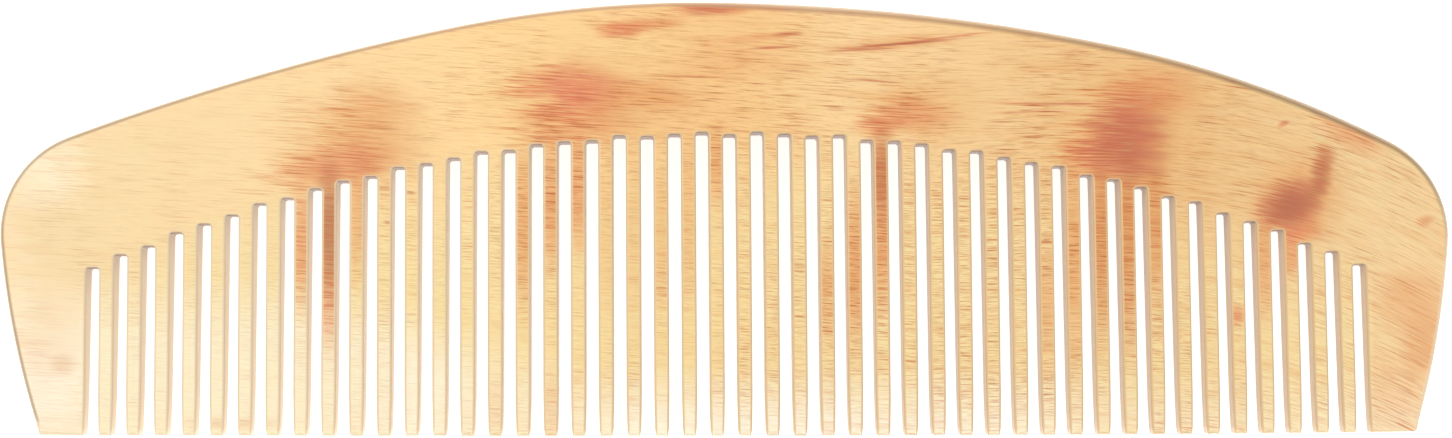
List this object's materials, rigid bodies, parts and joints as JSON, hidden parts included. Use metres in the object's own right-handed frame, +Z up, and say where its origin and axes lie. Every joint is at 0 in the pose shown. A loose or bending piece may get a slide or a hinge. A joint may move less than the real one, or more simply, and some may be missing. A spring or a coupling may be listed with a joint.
{
  "type": "horn comb",
  "caption": "Flat hair comb of pale translucent horn, with an arched back, a broad guard at each end and a row of straight sawn teeth.",
  "frame": {"origin": "centre of the box's bottom: on the flat underside, midway along the comb and midway between the tips and the top of the back", "axes": "+X along the comb, to the right with the tips towards the reader, +Y from the tips to the back, +Z up out of the upper face"},
  "size_m": [0.16, 0.0478, 0.0042],
  "materials": {
    "horn": "polished"
  },
  "bodies": {
    "root": {"comb": "horn"}
  },
  "joints": []
}
